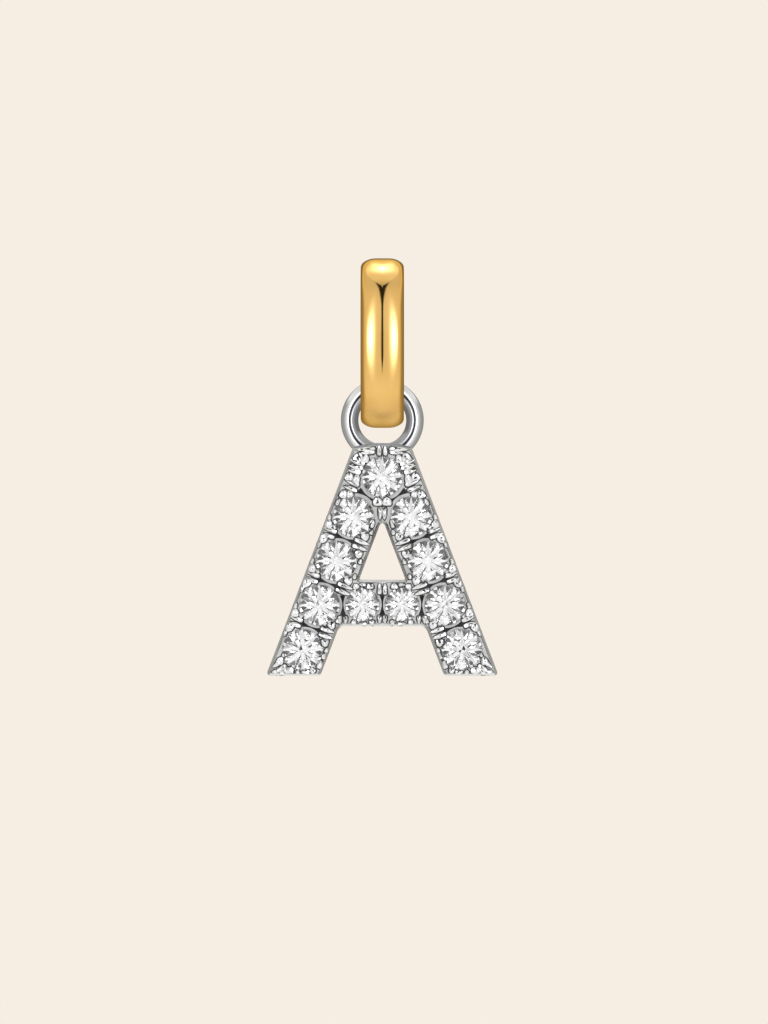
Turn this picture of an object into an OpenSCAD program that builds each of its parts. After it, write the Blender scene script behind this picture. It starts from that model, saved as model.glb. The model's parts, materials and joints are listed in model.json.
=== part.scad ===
// Initial pendant: a gold bail, and a white metal letter with its hanging ring, set with round stones.
// X runs across the letter, Y from front to back and Z up. The front faces -Y.
// The origin is the top of the bail's hollow, where a chain runs through it along X.

/* [Bail] */
// Outside height of the bail
bail_height = 6.28; // [5.8:0.02:7.4]
// Outside depth of the bail, from front to back
bail_depth = 4.4; // [4.2:0.05:5.2]
// Outside radius of the bends at the bail's top and bottom
bail_bend_radius = 1.95; // [1.7:0.05:2.05]
// Width of the band that the bail is bent from
band_width = 1.6; // [1.4:0.02:1.9]
// Thickness of the band at its middle
band_thickness = 0.68; // [0.5:0.02:0.9]
// Radius of the band's domed outside
band_dome_radius = 2.2; // [1.6:0.1:3]
// Radius of the shoulders beside the dome
band_shoulder_radius = 0.25; // [0.15:0.01:0.3]
// Radius of the band's inner edges
band_edge_radius = 0.12; // [0.06:0.01:0.18]

/* [Hanging ring] */
// Thickness of the ring's round wire
wire_thickness = 0.65; // [0.5:0.01:0.8]
// Room between the ring and each side of the band
ring_side_gap = 0.085; // [0.05:0.005:0.2]
// Room between the ring and the band's inner edges, which carry it
hang_gap = 0.03; // [0.02:0.005:0.045]
// How far the letter's top reaches into the ring's hole
ring_bite = 0.04; // [0.02:0.01:0.06]

/* [Letter] */
// Height of the letter, from its feet to the middle of its top
letter_height = 8.6; // [8.2:0.05:9.4]
// Width of the letter across its feet
letter_width = 8.6; // [8.4:0.05:9.4]
// Width of the letter's top
top_width = 2.16; // [1.96:0.02:2.4]
// Rise of the middle of the top above its corners
top_rise = 0.15; // [0.05:0.01:0.25]
// Width of a leg below the crossbar, square to its edges
leg_width = 1.88; // [1.84:0.01:2.0]
// Width of a leg beside the letter's window
window_leg_width = 1.95; // [1.88:0.01:2.05]
// Height of the crossbar's lower edge above the feet
bar_foot_height = 1.83; // [1.6:0.01:2.0]
// Width of the crossbar
bar_width = 1.7; // [1.55:0.01:1.9]
// Thickness of the letter, from front to back
plate_thickness = 1.45; // [1.3:0.05:1.8]
// Radius of the two corners under the crossbar
under_bar_radius = 0.28; // [0.1:0.01:0.4]
// Radius of the inner corners of the feet
foot_radius = 0.2; // [0.1:0.01:0.3]
// Radius of the outer corners of the feet
tip_radius = 0.12; // [0.05:0.01:0.2]
// Radius of the upper corner of the letter's window
window_top_radius = 0.1; // [0.08:0.01:0.16]
// Radius of the letter's other corners
small_radius = 0.06; // [0.03:0.01:0.1]

/* [Stones] */
// Width of the round stones in the top and the legs
stone_width = 1.5; // [1.4:0.01:1.55]
// Width of the round stones in the crossbar
bar_stone_width = 1.25; // [1.1:0.01:1.35]
// Metal between a stone and the letter's outer edge, or the crossbar's lower edge
rim_width = 0.18; // [0.12:0.01:0.2]
// Metal between the lowest stones and the feet
foot_rim = 0.22; // [0.15:0.01:0.3]
// Metal between the top stone and the middle of the letter's top
top_rim = 0.5; // [0.4:0.01:0.6]
// Extra room between the top stone and the two stones below it
top_gap = 0.07; // [0:0.01:0.12]

/* [Cut of the stones] */
// Width of the table as a share of the stone's width
table_share = 0.57; // [0.53:0.01:0.62]
// Thickness of the girdle as a share of the stone's width
girdle_share = 0.035; // [0.03:0.005:0.05]
// Slope of the crown's main facets
crown_angle = 34.5; // [32:0.5:36]
// Slope of the pavilion's main facets
pavilion_angle = 40.8; // [40:0.1:42]
// Share of the way from the table to the girdle that the star facets take
star_share = 0.5; // [0.4:0.05:0.6]
// Share of the way from the girdle to the point that the lower girdle facets take
lower_share = 0.76; // [0.7:0.02:0.8]

/* [Setting] */
// Room between a stone and its seat
seat_gap = 0.03; // [0.02:0.005:0.04]
// Height of the girdle's upper edge above the letter's face
girdle_rise = 0.02; // [0.01:0.005:0.03]
// Width of the hole behind a stone as a share of the stone's width
light_hole_share = 0.5; // [0.4:0.05:0.6]
// Width of one prong
prong_width = 0.15; // [0.13:0.01:0.2]
// Groove between the two prongs of a pair
prong_groove = 0.03; // [0.02:0.01:0.06]
// Height of a prong's axis above the letter's face
prong_rise = 0.04; // [0.02:0.01:0.06]
// Distance from the stones' line to the inner end of a prong
prong_line_gap = 0.4; // [0.34:0.01:0.44]
// How far a prong that points at a stone reaches over the stone's edge
prong_overlap_length = 0.08; // [0.05:0.01:0.1]
// Metal between the outer end of a prong and the letter's edge
prong_rim = 0.06; // [0.04:0.01:0.08]
// Width of the pit between two neighbouring stones
pit_width = 0.4; // [0.34:0.01:0.46]
// Depth of that pit
pit_depth = 0.35; // [0.2:0.05:0.5]

/* [Hidden] */
$fn = 64;

gold = "#e0ac55";
white_metal = "#c9cbcf";
clear_stone = "#eef2f7";

// The bail's outside is an oval of four arcs: two bends, and two long sides with a larger radius.
bail_middle_z = band_thickness - bail_height / 2;
bend_offset = bail_height / 2 - bail_bend_radius;
side_bulge = bail_depth / 2 - bail_bend_radius;
side_offset = (pow(bend_offset, 2) - pow(side_bulge, 2)) / (2 * side_bulge);
side_radius = bail_depth / 2 + side_offset;
side_half_angle = atan2(bend_offset, side_offset);

// The ring hangs on the two inner edges of the band at the bottom of the bail's hollow.
ring_hole_radius = band_width / 2 + ring_side_gap;
ring_middle_radius = ring_hole_radius + wire_thickness / 2;
hollow_bottom_z = 2 * band_thickness - bail_height;
edge_across = band_width / 2 - band_edge_radius;
edge_to_ring = ring_hole_radius - band_edge_radius - hang_gap;
ring_z = hollow_bottom_z - band_edge_radius - sqrt(pow(edge_to_ring, 2) - pow(edge_across, 2));

// The letter is drawn flat, with its feet on y = 0 and its front towards +z, and is then stood up.
feet_z = ring_z - ring_hole_radius + ring_bite - letter_height;
front = plate_thickness / 2;
corner_height = letter_height - top_rise;
leg_angle = atan2((letter_width - top_width) / 2, corner_height);
leg_up = [-sin(leg_angle), cos(leg_angle)];
leg_out = [cos(leg_angle), sin(leg_angle)];
bar_top_height = bar_foot_height + bar_width;
window_top_height = (letter_width / 2 - window_leg_width / cos(leg_angle)) / tan(leg_angle);
window_half_width = outer_x(bar_top_height) - window_leg_width / cos(leg_angle);

// Each leg's stones follow one line, which keeps the same rim along the leg's outer edge.
stone_radius = stone_width / 2;
bar_stone_radius = bar_stone_width / 2;
line_to_outer = rim_width + stone_radius;
rows = 4;
lowest_height = foot_rim + stone_radius;
lowest_centre = [outer_x(lowest_height) - line_to_outer / cos(leg_angle), lowest_height];
top_centre = [0, letter_height - top_rim - stone_radius];

// One spacing fits the stones of a leg between the lowest stone and the top one.
top_to_lowest = lowest_centre - top_centre;
steps = rows - 1;
square_term = pow(steps, 2) - 1;
linear_term = steps * (leg_up * top_to_lowest) - top_gap;
constant_term = top_to_lowest * top_to_lowest - pow(top_gap, 2);
stone_spacing = (-linear_term - sqrt(pow(linear_term, 2) - square_term * constant_term)) / square_term;

// Distances from the legs' stones, and from the top stone, to the letter's edges
line_to_inner = leg_width - line_to_outer;
line_to_window = window_leg_width - line_to_outer;
top_to_outer = outer_x(top_centre[1]) * cos(leg_angle);

// The crossbar's stones share the room between the legs' third stones evenly.
bar_row = 2;
bar_stone_height = bar_foot_height + rim_width + bar_stone_radius;
bar_stone_x = (row_centre(bar_row)[0] - stone_radius + bar_stone_radius) / 3;

function outer_x(height) = letter_width / 2 - height * tan(leg_angle);
function inner_x(height) = outer_x(height) - leg_width / cos(leg_angle);
function row_centre(row) = lowest_centre + (steps - row) * stone_spacing * leg_up;
function flip(point, side) = [side * point[0], point[1]];
function unit(v) = v / norm(v);
function heading(v) = atan2(v[1], v[0]);

// Points of a corner that is rounded with an arc, seen from the points before and after it
corner_steps = 6;
function turned(from, to) =
    let (turn = to - from)
    turn > 180 ? turn - 360 : turn < -180 ? turn + 360 : turn;
function rounded_corner(before, corner, after, radius) =
    let (
        back = unit(before - corner),
        ahead = unit(after - corner),
        half = acos(back * ahead) / 2,
        middle = corner + unit(back + ahead) * radius / sin(half),
        from = heading(corner + back * radius / tan(half) - middle),
        to = heading(corner + ahead * radius / tan(half) - middle),
        sweep = turned(from, to)
    )
    [for (i = [0 : corner_steps])
        let (angle = from + sweep * i / corner_steps)
        middle + radius * [cos(angle), sin(angle)]];

// A closed outline whose corners are rounded: one row for each corner, with its point and its radius
POINT = 0;
RADIUS = 1;
function rounded_outline(corners) =
    let (last = len(corners) - 1)
    [for (i = [0 : last])
        let (
            before = corners[i == 0 ? last : i - 1][POINT],
            after = corners[i == last ? 0 : i + 1][POINT]
        )
        each rounded_corner(before, corners[i][POINT], after, corners[i][RADIUS])];

right_corners = [
    [[top_width / 2, corner_height], small_radius],
    [[letter_width / 2, 0], tip_radius],
    [[inner_x(0), 0], foot_radius],
    [[inner_x(bar_foot_height), bar_foot_height], under_bar_radius]
];
left_corners = [for (i = [len(right_corners) - 1 : -1 : 0])
    [flip(right_corners[i][POINT], -1), right_corners[i][RADIUS]]];
window_corners = [
    [[0, window_top_height], window_top_radius],
    [[window_half_width, bar_top_height], small_radius],
    [[-window_half_width, bar_top_height], small_radius]
];

// The letter's top is a low arc through its two corners and its middle.
crown_radius = (pow(top_width / 2, 2) + pow(top_rise, 2)) / (2 * top_rise);

// Cross-section of the band, for an arc of the bail with this outside radius
module band_section(outside) {
    inside = outside - band_thickness;
    dome_at = outside - band_dome_radius;
    shoulder_across = band_width / 2 - band_shoulder_radius;
    shoulder_reach = sqrt(pow(band_dome_radius - band_shoulder_radius, 2) - pow(shoulder_across, 2));
    shoulder_at = dome_at + shoulder_reach;
    wedge = 2 * [shoulder_reach, shoulder_across];
    intersection() {
        translate([dome_at, 0]) circle(band_dome_radius, $fn = 96);
        polygon([[dome_at, 0], [dome_at + wedge[0], wedge[1]], [dome_at + wedge[0], -wedge[1]]]);
        translate([inside, -band_width / 2]) square([2 * band_thickness, band_width]);
    }
    for (side = [-1, 1]) {
        translate([shoulder_at, side * shoulder_across]) circle(band_shoulder_radius);
        translate([inside + band_edge_radius, side * edge_across]) circle(band_edge_radius);
    }
    translate([inside + band_edge_radius, -band_width / 2])
        square([shoulder_at - inside - band_edge_radius, band_width]);
    translate([inside, -edge_across]) square([band_edge_radius, 2 * edge_across]);
}

// One arc of the bail, turned about a line along X
module band_arc(centre_y, centre_z, outside, start, sweep) {
    translate([0, centre_y, centre_z]) rotate([90, 0, 90])
        rotate([0, 0, start]) rotate_extrude(angle = sweep, $fn = 128) band_section(outside);
}

module bail() {
    side_sweep = 2 * side_half_angle;
    bend_sweep = 180 - side_sweep;
    color(gold) union() {
        band_arc(0, bail_middle_z + bend_offset, bail_bend_radius, side_half_angle, bend_sweep);
        band_arc(0, bail_middle_z - bend_offset, bail_bend_radius, 180 + side_half_angle, bend_sweep);
        band_arc(-side_offset, bail_middle_z, side_radius, -side_half_angle, side_sweep);
        band_arc(side_offset, bail_middle_z, side_radius, 180 - side_half_angle, side_sweep);
    }
}

// Stands up what is drawn flat on the letter
module stand_up() {
    translate([0, 0, feet_z]) rotate([90, 0, 0]) children();
}

// Sizes of a brilliant cut, as shares of the stone's width, with height 0 at the girdle's upper edge
mains = 8;
main_turn = 360 / mains;
facet_turn = main_turn / 2;
last_main = mains - 1;
girdle_points = 4 * mains;
last_girdle = girdle_points - 1;
table_radius = table_share / 2;
crown_height = (0.5 - table_radius) * tan(crown_angle);
pavilion_depth = 0.5 * tan(pavilion_angle);
star_drop = crown_height * star_share;
star_radius = (table_radius + star_drop / tan(crown_angle)) / cos(facet_turn);
lower_depth = pavilion_depth * lower_share;
lower_radius = 0.5 * (1 - lower_share) / cos(facet_turn);

function around(radius, turn, height) = [radius * cos(turn), radius * sin(turn), height];

// Height at which a facet through three points meets the girdle's wall beside them
function facet_height(a, b, c, at) =
    let (normal = cross(b - a, c - a))
    a[2] - (normal[0] * (at[0] - a[0]) + normal[1] * (at[1] - a[1])) / normal[2];

// Rings of points of the cut, from the table down to the point, for a stone one unit wide
girdle_upper_mid = facet_height(
    around(0.5, 0, 0), around(0.5, facet_turn, 0),
    around(star_radius, facet_turn, crown_height - star_drop), around(0.5, facet_turn / 2, 0)
);
girdle_lower_mid = facet_height(
    around(0.5, 0, -girdle_share), around(0.5, facet_turn, -girdle_share),
    around(lower_radius, facet_turn, -girdle_share - lower_depth), around(0.5, facet_turn / 2, 0)
);
table_ring = [for (i = [0 : last_main]) around(table_radius, i * main_turn, crown_height)];
star_ring = [for (i = [0 : last_main])
    around(star_radius, i * main_turn + facet_turn, crown_height - star_drop)];
upper_ring = [for (i = [0 : last_girdle])
    around(0.5, i * facet_turn / 2, i % 2 == 0 ? 0 : girdle_upper_mid)];
lower_ring = [for (i = [0 : last_girdle])
    around(0.5, i * facet_turn / 2, i % 2 == 0 ? -girdle_share : girdle_lower_mid)];
pavilion_ring = [for (i = [0 : last_main])
    around(lower_radius, i * main_turn + facet_turn, -girdle_share - lower_depth)];
point = [[0, 0, -girdle_share - pavilion_depth]];
cut_points = concat(table_ring, star_ring, upper_ring, lower_ring, pavilion_ring, point);

// Places of the rings in the list of points
TABLE = 0;
STAR = TABLE + mains;
UPPER = STAR + mains;
LOWER = UPPER + girdle_points;
PAVILION = LOWER + girdle_points;
TIP = PAVILION + mains;
function on_table(i) = TABLE + i % mains;
function on_star(i) = STAR + i % mains;
function on_upper(i) = UPPER + i % girdle_points;
function on_lower(i) = LOWER + i % girdle_points;
function on_pavilion(i) = PAVILION + i % mains;
cut_faces = concat(
    [[for (i = [last_main : -1 : 0]) on_table(i)]],
    [for (i = [0 : last_main]) [on_table(i), on_table(i + 1), on_star(i)]],
    [for (i = [0 : last_main]) [on_table(i), on_star(i), on_upper(4 * i), on_star(i + last_main)]],
    [for (i = [0 : last_main]) [on_star(i), on_upper(4 * i + 2), on_upper(4 * i + 1), on_upper(4 * i)]],
    [for (i = [0 : last_main]) [on_star(i), on_upper(4 * i + 4), on_upper(4 * i + 3), on_upper(4 * i + 2)]],
    [for (i = [0 : last_girdle]) [on_upper(i), on_upper(i + 1), on_lower(i + 1), on_lower(i)]],
    [for (i = [0 : last_main])
        [on_pavilion(i), on_lower(4 * i), on_lower(4 * i + 1), on_lower(4 * i + 2)]],
    [for (i = [0 : last_main])
        [on_pavilion(i), on_lower(4 * i + 2), on_lower(4 * i + 3), on_lower(4 * i + 4)]],
    [for (i = [0 : last_main]) [TIP, on_pavilion(i + last_main), on_lower(4 * i), on_pavilion(i)]]
);

module stone(place, width) {
    color(clear_stone) stand_up() translate([place[0], place[1], front + girdle_rise])
        polyhedron([for (p = cut_points) p * width], cut_faces);
}

module top_stone() {
    stone(top_centre, stone_width);
}

module leg_stone(side, row) {
    stone(flip(row_centre(row), side), stone_width);
}

module bar_stone(side) {
    stone([side * bar_stone_x, bar_stone_height], bar_stone_width);
}

// The letter's plate, with its window
module plate() {
    translate([0, 0, -front]) linear_extrude(plate_thickness) difference() {
        union() {
            polygon(rounded_outline(concat(right_corners, left_corners)));
            intersection() {
                translate([0, letter_height - crown_radius]) circle(crown_radius, $fn = 180);
                translate([-top_width / 2 + small_radius, corner_height - top_rise])
                    square([top_width - 2 * small_radius, 2 * top_rise]);
            }
        }
        polygon(rounded_outline(window_corners));
    }
}

// The round ring that the letter hangs by
module ring() {
    translate([0, ring_z - feet_z, 0]) rotate_extrude($fn = 96)
        translate([ring_middle_radius, 0]) circle(wire_thickness / 2, $fn = 48);
}

// One prong: a round-ended ridge between two points of the letter's face
module prong(from, to) {
    radius = prong_width / 2;
    length = norm(to - from);
    translate([from[0], from[1], front + prong_rise])
        rotate([0, 90, heading(to - from)]) rotate_extrude($fn = 24) intersection() {
            union() {
                translate([0, radius]) circle(radius);
                translate([0, length - radius]) circle(radius);
                translate([0, radius]) square([radius, length - 2 * radius]);
            }
            square([radius, length]);
        }
}

// Two prongs side by side, as they are cut from one ridge
module prong_pair(from, to) {
    ahead = unit(to - from);
    aside = [-ahead[1], ahead[0]] * (prong_width + prong_groove) / 2;
    for (side = [-1, 1]) prong(from + side * aside, to + side * aside);
}

// Places between two neighbouring stones, and how far out from a leg's line a prong may reach
function joint_middle(row) = (row_centre(row) + row_centre(row + 1)) / 2;
function joint_beside(row, out) = joint_middle(row) + leg_out * out;
stone_edge = stone_radius - prong_overlap_length;
outer_end = line_to_outer - prong_rim;
window_end = line_to_window - prong_rim;
inner_end = line_to_inner - prong_rim;

// Between the top stone and the stone below it on one side
first_joint = (top_centre + row_centre(0)) / 2;
across_first = unit([top_centre[1] - row_centre(0)[1], row_centre(0)[0]]);
first_start = prong_line_gap + prong_width;
first_to_edge = (outer_x(first_joint[1]) - first_joint[0]) * cos(leg_angle);
first_end = first_to_edge / (across_first * leg_out) - prong_rim;

// Between a leg and the crossbar, and at the outer corner of a foot
bar_joint_x = (row_centre(bar_row)[0] - stone_radius + bar_stone_x + bar_stone_radius) / 2;
window_corner = [window_half_width, bar_top_height - prong_rim - prong_width];
to_foot_corner = [letter_width / 2, 0] - lowest_centre;
foot_corner_room = (prong_rim + prong_width + prong_groove / 2) / sin((90 - leg_angle) / 2);
foot_end = norm(to_foot_corner) - foot_corner_room;

// Between the top stone and the window
top_prong_end = top_centre[1] - stone_edge - 2 * prong_width;
window_tip_height = window_top_height - window_top_radius * (1 / sin(leg_angle) - 1);

// Pairs of prongs on one side of the letter: one row for each pair, with its inner and outer end
FROM = 0;
TO = 1;
side_pairs = concat(
    [for (row = [0 : steps - 1]) [joint_beside(row, prong_line_gap), joint_beside(row, outer_end)]],
    [
        [joint_beside(0, -prong_line_gap), joint_beside(0, -window_end)],
        [joint_beside(1, -prong_line_gap), window_corner],
        [joint_beside(2, -prong_line_gap), joint_beside(2, -inner_end)],
        [first_joint + across_first * first_start, first_joint + across_first * first_end],
        [top_centre + leg_out * stone_edge, top_centre + leg_out * (top_to_outer - prong_rim)],
        [lowest_centre + unit(to_foot_corner) * stone_edge, lowest_centre + unit(to_foot_corner) * foot_end],
        [[bar_joint_x, bar_stone_height - prong_line_gap], [bar_joint_x, bar_foot_height + prong_rim]]
    ]
);

// Pairs of prongs on the letter's middle line, with the same columns
middle_pairs = [
    [[0, top_centre[1] + stone_edge], [0, letter_height - prong_rim]],
    [[0, top_centre[1] - stone_edge], [0, top_prong_end]],
    [[0, row_centre(0)[1] + prong_line_gap], [0, window_tip_height + prong_rim]],
    [[0, bar_stone_height + prong_line_gap], [0, bar_top_height - prong_rim]],
    [[0, bar_stone_height - prong_line_gap], [0, bar_foot_height + prong_rim]]
];

module prongs() {
    for (pair = middle_pairs) prong_pair(pair[FROM], pair[TO]);
    for (side = [-1, 1]) {
        for (pair = side_pairs) prong_pair(flip(pair[FROM], side), flip(pair[TO], side));
    }
}

// The pit between two neighbouring stones
module pit(place) {
    translate([place[0], place[1], front - pit_depth]) cylinder(d = pit_width, h = 2 * pit_depth);
}

module pits() {
    pit([0, bar_stone_height]);
    for (side = [-1, 1]) {
        pit(flip(first_joint, side));
        pit([side * bar_joint_x, bar_stone_height]);
        for (row = [0 : steps - 1]) pit(flip(joint_middle(row), side));
    }
}

// The room for one stone: its outer form with the seat's gap all round, open above and behind
module seat(place, width) {
    hole_radius = light_hole_share * width / 2;
    hole_top = front + girdle_rise - girdle_share * width;
    outline = [
        [lower_radius, -girdle_share - lower_depth],
        [0.5, -girdle_share],
        [0.5, 0],
        [star_radius, crown_height - star_drop],
        [table_radius, crown_height]
    ];
    profile = [for (p = outline) [p[0] * width + seat_gap, p[1] * width]];
    translate([place[0], place[1], front + girdle_rise]) rotate_extrude()
        polygon(concat([[0, profile[0][1] - seat_gap]], profile, [[0, crown_height * width]]));
    translate([place[0], place[1], -plate_thickness])
        cylinder(r = hole_radius, h = plate_thickness + hole_top);
}

module seats() {
    seat(top_centre, stone_width);
    for (side = [-1, 1]) {
        seat([side * bar_stone_x, bar_stone_height], bar_stone_width);
        for (row = [0 : steps]) seat(flip(row_centre(row), side), stone_width);
    }
}

module letter_frame() {
    color(white_metal) stand_up() difference() {
        union() {
            plate();
            ring();
            prongs();
        }
        seats();
        pits();
    }
}

bail();
letter_frame();
top_stone();  // stone_top
leg_stone(-1, 0);  // stone_left_1
leg_stone(-1, 1);  // stone_left_2
leg_stone(-1, 2);  // stone_left_3
leg_stone(-1, 3);  // stone_left_4
leg_stone(1, 0);  // stone_right_1
leg_stone(1, 1);  // stone_right_2
leg_stone(1, 2);  // stone_right_3
leg_stone(1, 3);  // stone_right_4
bar_stone(-1);  // stone_bar_left
bar_stone(1);  // stone_bar_right
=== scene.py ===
import json
import math

import bmesh
import bpy
from mathutils import Matrix, Vector


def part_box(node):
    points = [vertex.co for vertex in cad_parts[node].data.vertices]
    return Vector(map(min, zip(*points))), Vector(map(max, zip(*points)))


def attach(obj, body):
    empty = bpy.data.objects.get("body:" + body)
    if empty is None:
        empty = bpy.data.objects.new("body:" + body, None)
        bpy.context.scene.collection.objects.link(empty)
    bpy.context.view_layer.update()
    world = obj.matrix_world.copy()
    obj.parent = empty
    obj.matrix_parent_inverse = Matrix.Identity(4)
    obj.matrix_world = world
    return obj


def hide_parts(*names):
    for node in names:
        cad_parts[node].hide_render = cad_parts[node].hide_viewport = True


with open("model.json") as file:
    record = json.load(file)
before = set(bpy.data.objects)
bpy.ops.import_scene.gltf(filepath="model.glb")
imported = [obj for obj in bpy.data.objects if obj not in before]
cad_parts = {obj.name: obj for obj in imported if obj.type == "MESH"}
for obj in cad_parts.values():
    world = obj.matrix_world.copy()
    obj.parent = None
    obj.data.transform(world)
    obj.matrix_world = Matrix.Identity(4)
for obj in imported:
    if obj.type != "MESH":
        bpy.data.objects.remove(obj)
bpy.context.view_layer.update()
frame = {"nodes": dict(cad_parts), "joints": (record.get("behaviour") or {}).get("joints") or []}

# The bail.
# A closed oval hoop bent from a domed band of silver, plated with yellow gold and polished on a wheel.
# A chain runs through its top, and the letter's ring hangs on the inner edges of its bottom bend.
MM = 0.001
bail_height = 6.28
bail_depth = 4.4
bend_radius = 1.95
band_width = 1.6
band_thickness = 0.68
ridge_radius = 0.35
ridge_slope = 5
shoulder_radius = 0.25
shoulder_slope = 16
inner_edge_radius = 0.12


def arc_points(start, radius, slope_from, slope_to, steps):
    """Points of an arc that goes on from a start point, from one slope down to another, in degrees."""
    first, last = math.radians(slope_from), math.radians(slope_to)
    slopes = [first + (last - first) * i / steps for i in range(1, steps + 1)]
    return [
        (
            start[0] + radius * (math.sin(slope) - math.sin(first)),
            start[1] - radius * (math.cos(first) - math.cos(slope)),
        )
        for slope in slopes
    ]


def band_section():
    """Closed outline of the band: how far across and how far out from its dome's top each point lies."""
    ridge_sine = math.sin(math.radians(ridge_slope))
    shoulder_sine = math.sin(math.radians(shoulder_slope))
    flank_across = band_width / 2 - ridge_radius * ridge_sine - shoulder_radius * (1 - shoulder_sine)
    flank_radius = flank_across / (shoulder_sine - ridge_sine)
    half = [(0, 0)]
    half += arc_points(half[-1], ridge_radius, 0, ridge_slope, 3)
    half += arc_points(half[-1], flank_radius, ridge_slope, shoulder_slope, 10)
    half += arc_points(half[-1], shoulder_radius, shoulder_slope, 90, 10)
    side_end = (band_width / 2, inner_edge_radius - band_thickness)
    half += [(side_end[0], (half[-1][1] + side_end[1]) / 2), side_end]
    half += arc_points(side_end, inner_edge_radius, 90, 180, 6)
    half += [(half[-1][0] * share, -band_thickness) for share in (0.8, 0.4)]
    middle = [(0, -band_thickness)]
    return half + middle + [(-across, out) for across, out in reversed(half[1:])]


def bail_path():
    """Rows of centre y, centre z, outside radius and outward angle, once round the oval."""
    bend_offset = bail_height / 2 - bend_radius
    bulge = bail_depth / 2 - bend_radius
    side_offset = (bend_offset**2 - bulge**2) / (2 * bulge)
    side_radius = bail_depth / 2 + side_offset
    side_turn = math.degrees(math.atan2(bend_offset, side_offset))
    middle_z = band_thickness - bail_height / 2
    side_steps, bend_steps = 40, 60
    arcs = [
        (-side_offset, middle_z, side_radius, -side_turn, side_turn, side_steps),
        (0, middle_z + bend_offset, bend_radius, side_turn, 180 - side_turn, bend_steps),
        (side_offset, middle_z, side_radius, 180 - side_turn, 180 + side_turn, side_steps),
        (0, middle_z - bend_offset, bend_radius, 180 + side_turn, 360 - side_turn, bend_steps),
    ]
    return [
        (y, z, radius, math.radians(start + (end - start) * i / steps))
        for y, z, radius, start, end, steps in arcs
        for i in range(steps)
    ]


def closed_grid(name, rows):
    """A closed tube from closed rows of points, each joined to the next and the last to the first."""
    across = len(rows[0])
    faces = []
    for i in range(len(rows)):
        here, ahead = i * across, (i + 1) % len(rows) * across
        for j in range(across):
            beside = (j + 1) % across
            faces.append((here + j, here + beside, ahead + beside, ahead + j))
    mesh = bpy.data.meshes.new(name)
    mesh.from_pydata([point for row in rows for point in row], [], faces)
    return mesh


def new_piece(name, mesh):
    """A piece with smooth faces that point outwards, from a mesh in millimetres."""
    work = bmesh.new()
    work.from_mesh(mesh)
    bmesh.ops.recalc_face_normals(work, faces=work.faces)
    work.to_mesh(mesh)
    work.free()
    mesh.transform(Matrix.Scale(MM, 4))
    mesh.shade_smooth()
    piece = bpy.data.objects.new(name, mesh)
    bpy.context.collection.objects.link(piece)
    return piece


def linear(hex_code):
    """Linear RGBA of an sRGB hex colour."""
    shares = [int(hex_code[i : i + 2], 16) / 255 for i in (1, 3, 5)]
    return [s / 12.92 if s <= 0.04045 else ((s + 0.055) / 1.055) ** 2.4 for s in shares] + [1]


def add_node(tree, kind, links=None, **settings):
    """Adds a node, sets it up, and fills its inputs with values or with other nodes' outputs."""
    node = tree.nodes.new(kind)
    for key, value in settings.items():
        setattr(node, key, value)
    for socket, value in (links or {}).items():
        if isinstance(value, bpy.types.NodeSocket):
            tree.links.new(value, node.inputs[socket])
        else:
            node.inputs[socket].default_value = value
    return node


def new_material(name):
    """A material with an empty node tree."""
    material = bpy.data.materials.new(name)
    material.use_nodes = True
    material.node_tree.nodes.clear()
    return material


# Wheel-polished gold plate: a warm mirror, with faint lines that the wheel leaves along the band, a slight
# drift of colour, and a deeper, darker yellow along the shoulders as painted shade. The ring wears its
# underside to a satin, so that it mirrors nothing clearly.
polish_line_gap = 0.03
polish_line_length = 1.5
polish_line_depth = 0.004
colour_drift_size = 1.2
worn_from_z = -4.0
worn_out_z = -4.85
worn_roughness = 0.42
gold = new_material("polished_yellow_gold_plate")
tree = gold.node_tree
place = add_node(tree, "ShaderNodeTexCoord").outputs["Object"]
stretch = (1 / (polish_line_gap * MM), 1 / (polish_line_length * MM), 1 / (polish_line_length * MM))
lines_at = add_node(tree, "ShaderNodeMapping", {"Vector": place, "Scale": stretch})
lines = add_node(tree, "ShaderNodeTexNoise", {"Vector": lines_at.outputs[0], "Scale": 1, "Detail": 2})
drift = add_node(tree, "ShaderNodeTexNoise", {
    "Vector": place, "Scale": 1 / (colour_drift_size * MM), "Detail": 1,
})
tone = add_node(tree, "ShaderNodeValToRGB", {"Fac": drift.outputs["Fac"]})
tone.color_ramp.elements[0].position = 0.35
tone.color_ramp.elements[0].color = linear("#edbf6f")
tone.color_ramp.elements[1].position = 0.65
tone.color_ramp.elements[1].color = linear("#f2c476")
parts = add_node(tree, "ShaderNodeSeparateXYZ", {"Vector": place})
from_middle = add_node(tree, "ShaderNodeMath", {0: parts.outputs[0]}, operation="ABSOLUTE").outputs[0]
# Painted shade: towards the band's edges the colour turns to a deeper, darker yellow.
painted_shoulder_shade = add_node(tree, "ShaderNodeMapRange", {
    "Value": from_middle,
    "From Min": (band_width / 2 - shoulder_radius) * MM,
    "From Max": band_width / 2 * MM,
})
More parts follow.
